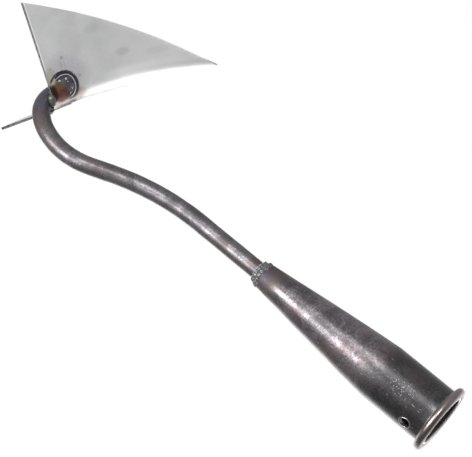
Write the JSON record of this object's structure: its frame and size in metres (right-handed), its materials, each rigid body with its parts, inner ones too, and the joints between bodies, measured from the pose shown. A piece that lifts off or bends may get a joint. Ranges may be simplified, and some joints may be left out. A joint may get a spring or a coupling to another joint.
{
  "type": "ridging hoe head",
  "caption": "Swan-neck ridging hoe head: a folded V-shaped steel blade welded to a bent round neck, with a tapered tube socket for a wooden handle.",
  "frame": {"origin": "centre of the socket's mouth, on the axis of the handle", "axes": "+X leaves the mouth along the handle; +Z is away from the blade, which hangs towards -Z; the X-Z plane is the plane of symmetry"},
  "size_m": [0.3705, 0.124, 0.1483],
  "materials": {
    "blade_steel": "bright rolled sheet with light wear",
    "neck_steel": "dark mill scale",
    "socket_steel": "dark mill scale, drawn and slightly polished",
    "weld_metal": "rippled weld bead"
  },
  "bodies": {
    "root": {"blade": "blade_steel", "neck_rod": "neck_steel", "socket": "socket_steel", "socket_weld": "weld_metal", "blade_weld": "weld_metal", "corner_welds": "weld_metal", "weld_mark_left": "weld_metal", "weld_mark_right": "weld_metal"}
  },
  "joints": []
}
